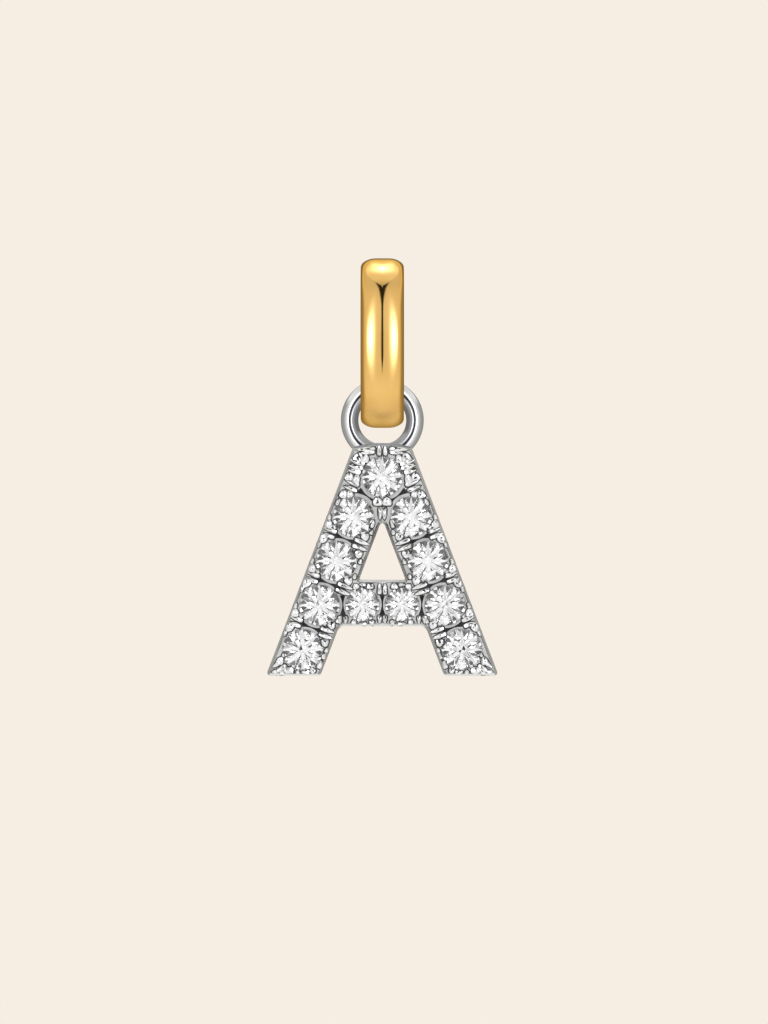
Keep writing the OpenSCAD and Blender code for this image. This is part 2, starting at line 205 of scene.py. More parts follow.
# A Mix node's number inputs are 2 and 3, and its colour inputs are 6 and 7.
colour = add_node(tree, "ShaderNodeMix", {
    0: painted_shoulder_shade.outputs["Result"], 6: tone.outputs["Color"], 7: linear("#eaae4c"),
}, data_type="RGBA")
gloss = add_node(tree, "ShaderNodeMapRange", {
    "Value": lines.outputs["Fac"], "To Min": 0.05, "To Max": 0.09,
})
worn = add_node(tree, "ShaderNodeMapRange", {
    "Value": parts.outputs[2], "From Min": worn_from_z * MM, "From Max": worn_out_z * MM,
}, interpolation_type="SMOOTHSTEP")
roughness = add_node(tree, "ShaderNodeMix", {
    0: worn.outputs["Result"], 2: gloss.outputs["Result"], 3: worn_roughness,
})
relief = add_node(tree, "ShaderNodeBump", {
    "Height": lines.outputs["Fac"], "Strength": 0.02, "Distance": polish_line_depth * MM,
})
surface = add_node(tree, "ShaderNodeBsdfPrincipled", {
    "Base Color": colour.outputs[2],
    "Metallic": 1,
    "Specular Tint": linear("#ffe9b0"),
    "Roughness": roughness.outputs[0],
    "Normal": relief.outputs["Normal"],
})
add_node(tree, "ShaderNodeOutputMaterial", {"Surface": surface.outputs[0]})

# Bending flattens the dome's middle and draws in its shoulders at the very top and bottom of the oval. Each
# pair of values is where that starts and ends, in drops below the dome's top and in shares of the way up.
flat_drop, round_drop = 0.01, 0.14
bend_start, bend_end = 0.82, 0.97


def smooth_share(value, low, high):
    """0 below one value, 1 above another, and a smooth rise between them."""
    share = min(max((value - low) / (high - low), 0), 1)
    return share * share * (3 - 2 * share)


section = band_section()
bail_rows = []
for centre_y, centre_z, radius, turn in bail_path():
    y_out, z_out = math.cos(turn), math.sin(turn)
    flatter = smooth_share(abs(z_out), bend_start, bend_end)
    row = []
    for across, out in section:
        lift = flatter * -out * (1 - smooth_share(-out, flat_drop, round_drop))
        reach = radius + out + lift
        row.append((across, centre_y + reach * y_out, centre_z + reach * z_out))
    bail_rows.append(row)
bail = new_piece("bail_band", closed_grid("bail_band", bail_rows))
bail.data.materials.append(gold)
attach(bail, "bail")
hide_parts("bail")
# The photograph, which looks retouched, shows no gold in the ring, so the bail is left out of reflections.
bail.visible_glossy = False

# The hanging ring.
# A round silver wire bent to a ring, passed through the bail and soldered to the letter's top. It is
# plated with rhodium together with the letter.
wire_radius = 0.325
ring_beside_band = 0.085
ring_radius = band_width / 2 + ring_beside_band + wire_radius
swing = next(joint for joint in frame["joints"] if joint["name"] == "letter_swing")
ring_z = swing["pos_m"][2] / MM
tone_drift_size = 0.6


def metal(name, dark, light, gloss_low, gloss_high, grain_size, relief_strength):
    """A metal with slow drifts between two tones, and fine marks in its gloss and its relief."""
    made = new_material(name)
    tree = made.node_tree
    place = add_node(tree, "ShaderNodeTexCoord").outputs["Object"]
    grain = add_node(tree, "ShaderNodeTexNoise", {
        "Vector": place, "Scale": 1 / (grain_size * MM), "Detail": 2,
    })
    cloud = add_node(tree, "ShaderNodeTexNoise", {
        "Vector": place, "Scale": 1 / (tone_drift_size * MM), "Detail": 1,
    })
    tone = add_node(tree, "ShaderNodeValToRGB", {"Fac": cloud.outputs["Fac"]})
    tone.color_ramp.elements[0].position = 0.35
    tone.color_ramp.elements[0].color = linear(dark)
    tone.color_ramp.elements[1].position = 0.65
    tone.color_ramp.elements[1].color = linear(light)
    gloss = add_node(tree, "ShaderNodeMapRange", {
        "Value": grain.outputs["Fac"], "To Min": gloss_low, "To Max": gloss_high,
    })
    relief = add_node(tree, "ShaderNodeBump", {
        "Height": grain.outputs["Fac"], "Strength": relief_strength, "Distance": grain_size * MM / 5,
    })
    surface = add_node(tree, "ShaderNodeBsdfPrincipled", {
        "Base Color": tone.outputs["Color"],
        "Metallic": 1,
        "Roughness": gloss.outputs["Result"],
        "Normal": relief.outputs["Normal"],
    })
    add_node(tree, "ShaderNodeOutputMaterial", {"Surface": surface.outputs[0]})
    return made


# Rhodium plate on buffed silver: a grey mirror with fine scuffs about 0.05 mm across, with painted shade
# greying the inside of the ring.
inner_shade_from, inner_shade_to = 0.01, -0.03
wire_metal = metal("buffed_rhodium_plate", "#e5e5e3", "#efefed", 0.06, 0.16, 0.05, 0.05)
tree = wire_metal.node_tree
surface = next(node for node in tree.nodes if node.type == "BSDF_PRINCIPLED")
buffed = surface.inputs["Base Color"].links[0].from_socket
place = add_node(tree, "ShaderNodeTexCoord").outputs["Object"]
upright = add_node(tree, "ShaderNodeVectorMath", {0: place, 1: (1, 0, 1)}, operation="MULTIPLY")
from_axis = add_node(tree, "ShaderNodeVectorMath", {
    0: upright.outputs[0], 1: (0, 0, ring_z * MM),
}, operation="DISTANCE")
clear_of_inner_shade = add_node(tree, "ShaderNodeMapRange", {
    "Value": from_axis.outputs["Value"],
    "From Min": (ring_radius + inner_shade_to) * MM,
    "From Max": (ring_radius + inner_shade_from) * MM,
})
# Painted shade: the ring's inside turns a darker grey.
colour = add_node(tree, "ShaderNodeMix", {
    0: clear_of_inner_shade.outputs["Result"], 6: linear("#a8a8a6"), 7: buffed,
}, data_type="RGBA")
tree.links.new(colour.outputs[2], surface.inputs["Base Color"])

ring_steps, wire_sides = 144, 40
ring_rows = []
for i in range(ring_steps):
    turn = math.tau * i / ring_steps
    row = []
    for j in range(wire_sides):
        round_wire = math.tau * j / wire_sides
        reach = ring_radius + wire_radius * math.cos(round_wire)
        ahead = wire_radius * math.sin(round_wire)
        row.append((reach * math.cos(turn), ahead, ring_z + reach * math.sin(turn)))
    ring_rows.append(row)
ring = new_piece("hanging_ring", closed_grid("hanging_ring", ring_rows))
ring.data.materials.append(wire_metal)
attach(ring, "letter")
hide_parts("letter_frame")

# The letter's plate.
# A cast silver plate in the shape of the letter, plated with rhodium. A fine rail is left along its edges,
# and the floor between the rails is cut lower. Each stone has a drilled seat that is open at the back. A
# slot is cut between each two stones.
letter_height = 8.6
letter_width = 8.6
top_width = 2.16
top_rise = 0.15
leg_width = 1.88
window_leg_width = 1.95
bar_foot_height = 1.83
bar_width = 1.7
plate_thickness = 1.45
under_bar_radius = 0.28
foot_radius = 0.2
tip_radius = 0.12
window_top_radius = 0.1
small_radius = 0.06
smallest_radius = 0.01
edge_across = 0.07
edge_depth = 0.07
rail_width = 0.11
rail_rise = 0.06

front = plate_thickness / 2
feet_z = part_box("letter_frame")[0].z / MM
corner_height = letter_height - top_rise
bar_top = bar_foot_height + bar_width
leg_angle = math.atan2((letter_width - top_width) / 2, corner_height)


def outer_x(height):
    """Distance of the letter's outer edge from its middle line."""
    return letter_width / 2 - height * math.tan(leg_angle)


def inner_x(height):
    """Distance of a leg's inner edge from the middle line, below the crossbar."""
    return outer_x(height) - leg_width / math.cos(leg_angle)


def letter_corners():
    """The letter's outline, anticlockwise from under the crossbar: rows of a corner and its radius."""
    right = [
        (Vector((inner_x(bar_foot_height), bar_foot_height)), under_bar_radius),
        (Vector((inner_x(0), 0)), foot_radius),
        (Vector((letter_width / 2, 0)), tip_radius),
        (Vector((top_width / 2, corner_height)), small_radius),
    ]
    crown_radius = ((top_width / 2) ** 2 + top_rise**2) / (2 * top_rise)
    crown = []
    for share in (0.7, 0.45, 0.2, 0, -0.2, -0.45, -0.7):
        x = share * top_width / 2
        crown.append((Vector((x, letter_height - crown_radius + math.sqrt(crown_radius**2 - x**2))), 0))
    left = [(Vector((-corner.x, corner.y)), radius) for corner, radius in reversed(right)]
    return right + crown + left


def window_corners():
    """The window's outline, also as rows of a corner and its radius."""
    across = window_leg_width / math.cos(leg_angle)
    top = (letter_width / 2 - across) / math.tan(leg_angle)
    half = outer_x(bar_top) - across
    return [
        (Vector((0, top)), window_top_radius),
        (Vector((-half, bar_top)), small_radius),
        (Vector((half, bar_top)), small_radius),
    ]


def moved_in(corners, distance):
    """The same outline with each edge moved inwards, so that its round corners keep their centres."""
    moved = []
    for i, (corner, radius) in enumerate(corners):
        back = (corner - corners[i - 1][0]).normalized()
        ahead = (corners[(i + 1) % len(corners)][0] - corner).normalized()
        inward = Vector((-back.y - ahead.y, back.x + ahead.x))
        inward *= 1 / (1 + back.dot(ahead))
        if radius > 0:
            turns_left = back.cross(ahead) > 0
            radius = max(radius - distance if turns_left else radius + distance, smallest_radius)
        moved.append((corner + inward * distance, radius))
    return moved


def outline(corners, steps=6):
    """Points of an outline whose corners are rounded with arcs."""
    points = []
    for i, (corner, radius) in enumerate(corners):
        if radius == 0:
            points.append(corner)
            continue
        back = (corners[i - 1][0] - corner).normalized()
        ahead = (corners[(i + 1) % len(corners)][0] - corner).normalized()
        half = back.angle(ahead) / 2
        middle = corner + (back + ahead).normalized() * radius / math.sin(half)
        first = corner + back * radius / math.tan(half) - middle
        last = corner + ahead * radius / math.tan(half) - middle
        start = math.atan2(first.y, first.x)
        sweep = (math.atan2(last.y, last.x) - start + math.pi) % math.tau - math.pi
        for step in range(steps + 1):
            turn = start + sweep * step / steps
            points.append(middle + radius * Vector((math.cos(turn), math.sin(turn))))
    return points


def stand_up(x, height, ahead):
    """A point of the letter from its place on the face and how far it lies ahead of the middle."""
    return Vector((x, -ahead, feet_z + height))


def solid(loops, material):
    """An object in millimetres, whose loops of points are joined in turn and capped at both ends."""
    size = len(loops[0])
    faces = [list(range(size)), [size * (len(loops) - 1) + i for i in range(size)]]
    for k in range(len(loops) - 1):
        for i in range(size):
            beside = (i + 1) % size
            faces.append([size * k + i, size * k + beside, size * (k + 1) + beside, size * (k + 1) + i])
    mesh = bpy.data.meshes.new("solid")
    mesh.from_pydata([point for loop in loops for point in loop], [], faces)
    work = bmesh.new()
    work.from_mesh(mesh)
    bmesh.ops.recalc_face_normals(work, faces=work.faces)
    work.to_mesh(mesh)
    work.free()
    mesh.materials.append(material)
    made = bpy.data.objects.new("solid", mesh)
    bpy.context.collection.objects.link(made)
    return made


def flat_solid(corners, steps, material):
    """A solid from an outline, with rows of how far it is moved in and how far ahead it lies."""
    loops = []
    for inset, ahead in steps:
        loops.append([stand_up(point.x, point.y, ahead) for point in outline(moved_in(corners, inset))])
    return solid(loops, material)


def turned_solid(x, height, profile, material, sides=64):
    """A solid turned about a line square to the letter's face, from rows of radius and how far ahead."""
    spokes = [(math.cos(math.tau * i / sides), math.sin(math.tau * i / sides)) for i in range(sides)]
    loops = []
    for radius, ahead in profile:
        loops.append([stand_up(x + radius * aside, height + radius * up, ahead) for aside, up in spokes])
    return solid(loops, material)


def carve(body, cutter):
    """Cuts one solid out of another, keeps the cutter's material on the cut, and deletes the cutter."""
    modifier = body.modifiers.new("cut", "BOOLEAN")
    modifier.object = cutter
    modifier.solver = "EXACT"
    modifier.material_mode = "TRANSFER"
    evaluated = body.evaluated_get(bpy.context.evaluated_depsgraph_get())
    carved = bpy.data.meshes.new_from_object(evaluated)
    body.modifiers.clear()
    body.data = carved
    bpy.data.objects.remove(cutter)


# Rhodium plate on silver that was only tumbled: a soft grey sheen without clear reflections.
satin_metal = metal("tumbled_rhodium_plate", "#dadad5", "#e1e1dc", 0.22, 0.32, 0.04, 0.1)
# Silver as it came from the mould, between the beads and in the seats, where no tool polishes it: dull.
cast_metal = metal("as_cast_silver", "#cbcbc2", "#dfdfd6", 0.45, 0.6, 0.05, 0.4)
# Painted shade: nearly black, dull silver on the slots' walls and on the sheets round the prongs, where
# shade falls.
painted_shade_metal = metal("silver_painted_with_shade", "#424241", "#585856", 0.45, 0.6, 0.05, 0.4)
# Painted shade along the letter's top edge, under the ring and the bail: a matt, mid grey silver.
top_edge_shade_metal = metal("silver_painted_with_top_shade", "#767673", "#82827f", 0.38, 0.48, 0.05, 0.2)

# The plate, with bevelled edges at its back and its front and the same edges at its window
edge_steps = [
    (edge_across, -front), (0, edge_depth - front), (0, front - edge_depth), (edge_across, front),
]
plate = flat_solid(letter_corners(), edge_steps, satin_metal)
window_steps = [
    (-2 * edge_across, -front - edge_depth),
    *((-inset, ahead) for inset, ahead in edge_steps),
    (-2 * edge_across, front + edge_depth),
]
carve(plate, flat_solid(window_corners(), window_steps, satin_metal))

# The channel between the rails, whose walls stand up from the floor and then slope back to the rails' tops
floor_ahead = front - rail_rise
wall_ahead = floor_ahead + rail_rise / 3
channel = flat_solid(letter_corners(), [
    (rail_width, floor_ahead),
    (rail_width, wall_ahead),
    (edge_across, front),
    (edge_across - 1.5 * (rail_width - edge_across), front + rail_rise / 2),
], cast_metal)
carve(channel, flat_solid(window_corners(), [
    (-rail_width, floor_ahead - rail_rise),
    (-rail_width, wall_ahead),
    (-edge_across, front),
    (-edge_across, 2 * front),
], satin_metal))
carve(plate, channel)

# Seats, from the sizes of the stones that the frame holds
seat_gap = 0.03
flare = 0.07
girdle_drop = 0.035
pavilion_slope = 0.86
light_hole_share = 0.5
sink_width = 0.1
stone_names = [name for name in frame["nodes"] if name.startswith("stone_")]
stones = {}
for name in stone_names:
    low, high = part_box(name)
    middle = (low + high) / 2 / MM
    stones[name] = (Vector((middle.x, middle.z - feet_z)), (high.x - low.x) / 2 / MM)
girdle = front - girdle_drop
for place, radius in stones.values():
    hole = radius * light_hole_share
    carve(plate, turned_solid(place.x, place.y, [
        (hole + 2 * sink_width, -front - sink_width),
        (hole, -front + sink_width),
        (hole, girdle - (radius - hole) * pavilion_slope),
        (radius + seat_gap, girdle),
        (radius + seat_gap, floor_ahead),
        (radius + seat_gap + flare, front),
        (radius + seat_gap + flare, 2 * front),
    ], cast_metal))

# A slot between each two stones that nearly touch, narrow at its waist and wider towards both ends
neighbour_gap = 0.35
level_within = 0.35
slot_waist = 0.05
slot_flare = 0.7
slot_full_at = 0.36
slot_depth = 0.35
slot_steps = 12
# How far a slot reaches from the line between the stones, towards the letter's middle and away from it
slot_ends = {"leg": (-0.4, 0.42), "bar": (-0.4, 0.36), "window_top": (-0.1, 0.4)}


def slot_outline(middle, across, kind):
    """Outline of a slot at a point, square to the direction in which the two stones lie."""
    along = Vector((-across.y, across.x))
    outward = Vector((0, 1))
    if abs(middle.x) > slot_waist:
        outward = Vector((math.copysign(1, middle.x), 0))
    if along.dot(outward) < 0:
        along = -along
    start, end = slot_ends[kind]
    reaches = [start + (end - start) * k / slot_steps for k in range(slot_steps + 1)]
    points = []
    for side, along_slot in ((1, reaches), (-1, reversed(reaches))):
        for reach in along_slot:
            half_width = slot_waist / 2 + min(abs(reach), slot_full_at) ** 2 * slot_flare
            points.append(middle + along * reach + across * side * half_width)
    return points


seats = list(stones.values())
for i, (first, first_radius) in enumerate(seats):
    for second, second_radius in seats[i + 1 :]:
        apart = (second - first).length
        metal_between = apart - first_radius - second_radius
        if metal_between > neighbour_gap:
            continue
        middle = first + (second - first) * (first_radius + metal_between / 2) / apart
        kind = "window_top" if middle.y > bar_top else "bar"
        if abs(first.y - second.y) > level_within:
            kind = "leg"
        points = slot_outline(middle, (second - first) / apart, kind)
        # The slot's walls take the nearly black silver of painted shade.
        carve(plate, solid([
            [stand_up(point.x, point.y, ahead) for point in points]
            for ahead in (front - slot_depth, 2 * front)
        ], painted_shade_metal))

# The metals of the edges that face up: painted shade on the top edge, and as-cast metal on the window's
# lower edge, which no tool got to
facing_up = 0.5
crease_angle = 28
plate.data.materials.append(top_edge_shade_metal)
window_half = window_corners()[-1][0].x
for face in plate.data.polygons:
    if face.normal.z < facing_up:
        continue
    height = face.center.z - feet_z
    # Painted shade on the top edge
    if height > corner_height - edge_across:
        face.material_index = plate.data.materials.find(top_edge_shade_metal.name)
    elif abs(height - bar_top) < edge_across and abs(face.center.x) < window_half:
        face.material_index = plate.data.materials.find(cast_metal.name)
plate.name = "letter_plate"
plate.data.transform(Matrix.Scale(MM, 4))
plate.data.shade_smooth()
plate.data.set_sharp_from_angle(angle=math.radians(crease_angle))
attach(plate, "letter")
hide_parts("letter_frame")

# The prongs.
# Ridges and beads of the plate's own metal, which a graver raises between the stones and which are pressed
# over the stones' edges. Each pair of ridges lies between two stones, with a bead at each side.
leg_out = Vector((math.cos(leg_angle), math.sin(leg_angle)))
leg_up = Vector((-math.sin(leg_angle), math.cos(leg_angle)))
# The middles of the stones down the right leg, from the top one
leg = [stones["stone_top"][0]] + [stones[f"stone_right_{i}"][0] for i in (1, 2, 3, 4)]
line_to_outer = (outer_x(leg[4].y) - leg[4].x) * math.cos(leg_angle)
line_to_inner = leg_width - line_to_outer
line_to_window = window_leg_width - line_to_outer
ridge_width = 0.165
ridge_gap = 0.06
ridge_height = 0.12
bead_longer = 1.12
bead_wider = 1.35
prong_crease_angle = 12

# Each row: the middle, the direction, the length and the width of one raised form
raised = []


def add_form(middle, along, length, width):
    """Adds one raised form on the right side of the letter, and its mirror image on the left."""
    middle, along = Vector(middle), Vector(along).normalized()
    raised.append((middle, along, length, width))
    if abs(middle.x) > ridge_gap / 2:
        raised.append((Vector((-middle.x, middle.y)), Vector((-along.x, along.y)), length, width))


def add_bead(middle, turn, length, width):
    """Adds a bead and its mirror image, widened as the graver widens it when it pushes it up."""
    add_form(middle, (math.cos(turn), math.sin(turn)), length * bead_longer, width * bead_wider)


def add_pair(start, end, spread=ridge_width + ridge_gap):
    """Adds a pair of ridges side by side between two points of the right side or of the middle line."""
    start, end = Vector(start), Vector(end)
    along = (end - start).normalized()
    aside = Vector((-along.y, along.x)) * spread / 2
    add_form((start + end) / 2 - aside, along, (end - start).length, ridge_width)
    # On the middle line the mirror image is the second ridge of the pair.
    if abs(start.x) > 0:
        add_form((start + end) / 2 + aside, along, (end - start).length, ridge_width)


# Beside each joint of a leg, a pair starts this far from the leg's line and stops this far from its edge
outer_start = 0.36
outer_clear = 0.04
inner_start = 0.32
inner_clear = 0.06
inner_spread = 0.23

# Beads beside each joint of a leg, in rows: how far out, how far up, the turn, the length and the width
outer_beads = [
    (0.75, 0.31, 75, 0.29, 0.21), (0.82, 0.56, 90, 0.2, 0.1),
    (0.75, -0.31, -75, 0.29, 0.21), (0.82, -0.56, -90, 0.2, 0.1), (0.52, 0.27, 30, 0.17, 0.1),
]
inner_beads = [
    (-0.68, 0.36, 110, 0.27, 0.22), (-0.83, 0.58, 90, 0.18, 0.11),
    (-0.68, -0.36, 250, 0.27, 0.22), (-0.83, -0.58, 90, 0.18, 0.11),
]
for k in (1, 2, 3):
    joint = (leg[k] + leg[k + 1]) / 2
    inner_end = line_to_inner if k == 3 else line_to_window
    add_pair(joint + leg_out * outer_start, joint + leg_out * (line_to_outer - outer_clear))
    add_pair(joint - leg_out * inner_start, joint - leg_out * (inner_end - inner_clear), inner_spread)
    for out, up, turn, length, width in outer_beads + inner_beads:
        # The crossbar lies where the middle joint would have its lower inner beads.
        if out < 0 and up < 0 and k == 2:
            continue
        add_bead(joint + leg_out * out + leg_up * up, leg_angle + math.radians(turn), length, width)

# Beads elsewhere on the right side, in rows: how far from the middle line, how high, the turn, the length
# and the width
loose_beads = [
    (0.62, 8.37, -3, 0.68, 0.12), (0.54, 8.24, -6, 0.5, 0.12), (0.61, 8.02, 100, 0.3, 0.2),
    (0.88, 8.06, 110, 0.36, 0.26), (0.93, 7.89, 19, 0.54, 0.14), (0.99, 7.73, 15, 0.56, 0.14),
    (1.04, 7.56, 15, 0.46, 0.14), (1.22, 7.35, 110, 0.3, 0.24), (0.95, 7.28, 105, 0.36, 0.2),
    (1.43, 6.71, 110, 0.3, 0.22), (1.2, 6.72, 60, 0.24, 0.18), (1.62, 6.42, 110, 0.26, 0.13),
    (0.17, 6.44, 90, 0.3, 0.27), (0.37, 5.62, 110, 0.3, 0.13),
    (0.44, 3.32, 90, 0.2, 0.2), (0.73, 3.36, 0, 0.24, 0.1), (0.98, 3.3, 60, 0.2, 0.18),
    (0.4, 1.98, 20, 0.2, 0.14), (0.73, 1.93, 0, 0.26, 0.09), (1.06, 1.98, -20, 0.2, 0.14),
    (3.77, 0.56, 110, 0.28, 0.2), (3.62, 0.79, 110, 0.2, 0.12), (3.97, 0.14, 0, 0.2, 0.14),
    (3.72, 0.13, 90, 0.16, 0.16), (3.47, 0.2, 0, 0.36, 0.2), (3.12, 0.14, 90, 0.16, 0.13),
    (2.84, 0.14, 0, 0.28, 0.13), (2.58, 0.2, 45, 0.22, 0.15), (2.3, 0.42, 110, 0.3, 0.15),
    (2.14, 0.74, 110, 0.24, 0.11),
]
for x, height, turn, length, width in loose_beads:
    add_bead((x, height), math.radians(turn), length, width)

# Pairs around the top stone, on the crossbar and at the feet
bar = stones["stone_bar_right"][0]
bar_joint_x = (leg[3].x - stones["stone_right_3"][1] + bar.x + stones["stone_bar_right"][1]) / 2
add_pair((0.88, 6.92), (1.4, 7.13))
add_pair((0, 8.12), (0, 8.52), 0.22)
add_pair((0, 6.24), (0, 5.74), 0.16)
add_pair((0, bar.y + 0.36), (0, bar_top - 0.08), 0.2)
add_pair((0, bar.y - 0.4), (0, bar_foot_height + 0.08), 0.2)
add_pair((bar_joint_x, bar.y - 0.42), (bar_joint_x, bar_foot_height + 0.08), 0.2)
foot_start = 0.82
foot_clear = 0.36
corner = Vector((letter_width / 2, 0))
to_corner = (corner - leg[4]).normalized()
add_pair(leg[4] + to_corner * foot_start, corner - to_corner * foot_clear)

# Rhodium plate on silver that a graver cut and burnished: small bright mirrors with scuffs 0.05 mm across.
cut_metal = metal("burnished_rhodium_plate", "#e5e5e2", "#efefec", 0.06, 0.16, 0.05, 0.05)

# A cut ridge one unit long, wide and high: a leaf's outline, in loops of a share of its width and a height
leaf = [
    (0.5, 0), (0.34, 0.28), (0.08, 0.46), (-0.28, 0.5), (-0.46, 0.36),
    (-0.5, 0), (-0.46, -0.36), (-0.28, -0.5), (0.08, -0.46), (0.34, -0.28),
]
ridge_loops = []
for share, rise in ((1, -0.5), (1, 0), (0.92, 0.34), (0.5, 0.44), (0.08, 0.5)):
    ridge_loops.append([Vector((share * x, -rise, share * z)) for x, z in leaf])
ridge = solid(ridge_loops, cut_metal)
ridge.name = "cut_ridge"


def raised_form_tree(metal_of_prongs, metal_of_painted_shade):
    """Geometry nodes that put a ridge on each point, turned and sized by the point, on a dark sheet of
    painted shade.
    """
    tree = bpy.data.node_groups.new("raised_forms", "GeometryNodeTree")
    for name, kind in (
        ("Points", "Geometry"),
        ("Ridge", "Object"),
        ("Height", "Float"),
        ("Unevenness", "Float"),
        ("Mark size", "Float"),
        ("Seed", "Float"),
        ("Groove width", "Float"),
        ("Groove rise", "Float"),
    ):
        tree.interface.new_socket(name, in_out="INPUT", socket_type="NodeSocket" + kind)
    tree.interface.new_socket("Ridges", in_out="OUTPUT", socket_type="NodeSocketGeometry")
    given = add_node(tree, "NodeGroupInput").outputs
    own = {}
    for name in ("turn", "length", "width"):
        reader = add_node(tree, "GeometryNodeInputNamedAttribute", {"Name": name}, data_type="FLOAT")
        own[name] = reader.outputs["Attribute"]
    facing = add_node(tree, "ShaderNodeCombineXYZ", {"Y": own["turn"]})
    form = add_node(tree, "GeometryNodeObjectInfo", {"Object": given["Ridge"]})

    def on_each_point(scale):
        """The ridge on each point, turned and at this scale, as real geometry."""
        placed = add_node(tree, "GeometryNodeInstanceOnPoints", {
            "Points": given["Points"],
            "Instance": form.outputs["Geometry"],
            "Rotation": facing.outputs[0],
            "Scale": scale.outputs[0],
        })
        return add_node(tree, "GeometryNodeRealizeInstances", {"Geometry": placed.outputs[0]})

    # The ridges, whose skin is shifted a little by a noise that is as coarse as the graver's marks
    size = add_node(tree, "ShaderNodeCombineXYZ", {
        "X": own["length"], "Y": given["Height"], "Z": own["width"],
    })
    ridges = on_each_point(size)
    finer = add_node(tree, "GeometryNodeSubdivideMesh", {"Mesh": ridges.outputs[0], "Level": 1})
    position = add_node(tree, "GeometryNodeInputPosition")
    fineness = add_node(tree, "ShaderNodeMath", {0: 1, 1: given["Mark size"]}, operation="DIVIDE")
    marks = add_node(tree, "ShaderNodeTexNoise", {
        "Vector": position.outputs[0], "W": given["Seed"], "Scale": fineness.outputs[0], "Detail": 1,
    }, noise_dimensions="4D")
    centred = add_node(tree, "ShaderNodeVectorMath", {
        0: marks.outputs["Color"], 1: (0.5, 0.5, 0.5),
    }, operation="SUBTRACT")
    shift = add_node(tree, "ShaderNodeVectorMath", {
        0: centred.outputs[0], "Scale": given["Unevenness"],
    }, operation="SCALE")
    uneven = add_node(tree, "GeometryNodeSetPosition", {
        "Geometry": finer.outputs[0], "Offset": shift.outputs[0],
    })
    coated = add_node(tree, "GeometryNodeSetMaterial", {
        "Geometry": uneven.outputs[0], "Material": metal_of_prongs,
    })

    # Painted shade round them: dark, nearly flat copies of the same forms, longer and wider
    margin = add_node(tree, "ShaderNodeCombineXYZ", {
        "X": given["Groove width"], "Y": given["Groove rise"], "Z": given["Groove width"],
    })
    shade_sheet_size = add_node(tree, "ShaderNodeVectorMath", {
        0: size.outputs[0], 1: (1, 0, 1), 2: margin.outputs[0],
    }, operation="MULTIPLY_ADD")
    shade_sheet_forms = on_each_point(shade_sheet_size)
    painted_shade_sheets = add_node(tree, "GeometryNodeSetMaterial", {
        "Geometry": shade_sheet_forms.outputs[0], "Material": metal_of_painted_shade,
    })
    together = add_node(tree, "GeometryNodeJoinGeometry", {0: painted_shade_sheets.outputs[0]})
    tree.links.new(coated.outputs[0], together.inputs[0])
    add_node(tree, "NodeGroupOutput", {"Ridges": together.outputs[0]})
    return tree


def grown(name, seeds, tree, settings):
    """An object with the plain mesh that a tree grows on seeds, with its inputs set by their names."""
    holder = bpy.data.objects.new(name, seeds)
    bpy.context.collection.objects.link(holder)
    modifier = holder.modifiers.new("grow", "NODES")
    modifier.node_group = tree
    for item in tree.interface.items_tree:
        if item.item_type == "SOCKET" and item.name in settings:
            modifier[item.identifier] = settings[item.name]
    evaluated = holder.evaluated_get(bpy.context.evaluated_depsgraph_get())
    mesh = bpy.data.meshes.new_from_object(evaluated)
    holder.modifiers.clear()
    holder.data = mesh
    return holder


seeds = bpy.data.meshes.new("prong_points")
seeds.from_pydata([stand_up(middle.x, middle.y, floor_ahead) * MM for middle, *_ in raised], [], [])
for attribute, values in (
    ("turn", [-math.atan2(along.y, along.x) for _, along, _, _ in raised]),
    ("length", [length * MM for _, _, length, _ in raised]),
    ("width", [width * MM for _, _, _, width in raised]),
):
    seeds.attributes.new(attribute, "FLOAT", "POINT").data.foreach_set("value", values)
# Each ridge stands on a dark sheet of painted shade.
prongs = grown("letter_prongs", seeds, raised_form_tree(cut_metal, painted_shade_metal), {
    "Ridge": ridge,
    "Height": 2 * ridge_height * MM,
    "Unevenness": 0.05 * MM,
    "Mark size": 0.12 * MM,
    "Seed": 3.0,
    "Groove width": 0.08 * MM,
    "Groove rise": 0.03 * MM,
})
bpy.data.objects.remove(ridge)
prongs.data.shade_smooth()
prongs.data.set_sharp_from_angle(angle=math.radians(prong_crease_angle))
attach(prongs, "letter")
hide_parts("letter_frame")
# The photograph's bail shows no ring or letter in its underside either, so they stay out of it.
ring.visible_glossy = False
plate.visible_glossy = False
prongs.visible_glossy = False

# The stones.
# Round brilliant cuts of clear cubic zirconia, 1.5 mm in the legs and 1.25 mm in the crossbar, ground and
# polished flat by flat. Each lies in its drilled seat, and the prongs are pressed over its edge.
haze_size = 0.15

# Cubic zirconia: colourless, bright because it bends light far more than glass does, with a trace of
# polishing haze on its facets.
zirconia = new_material("polished_cubic_zirconia")
tree = zirconia.node_tree
place = add_node(tree, "ShaderNodeTexCoord").outputs["Object"]
haze = add_node(tree, "ShaderNodeTexNoise", {
    "Vector": place, "Scale": 1 / (haze_size * MM), "Detail": 1,
})
gloss = add_node(tree, "ShaderNodeMapRange", {
    "Value": haze.outputs["Fac"], "To Min": 0, "To Max": 0.02,
})
surface = add_node(tree, "ShaderNodeBsdfPrincipled", {
    "Base Color": linear("#fdfdfd"),
    "Transmission Weight": 1,
    "IOR": 2.16,
    "Roughness": gloss.outputs["Result"],
})
add_node(tree, "ShaderNodeOutputMaterial", {"Surface": surface.outputs[0]})
for name in stone_names:
    frame["nodes"][name].material_slots[0].material = zirconia

# The floor.
# A plain table top covered with cream paper, so far below the hanging pendant that it shows only in views
# from steeply above.
floor_radius = 80
floor_z = -300
floor_sides = 96
paper_grain = 2
rim = [
    Vector((floor_radius * math.cos(a), floor_radius * math.sin(a), floor_z)) * MM
    for a in (math.tau * i / floor_sides for i in range(floor_sides))
]
floor_mesh = bpy.data.meshes.new("floor")
floor_mesh.from_pydata(rim, [], [list(range(floor_sides))])
floor = bpy.data.objects.new("floor", floor_mesh)
bpy.context.collection.objects.link(floor)

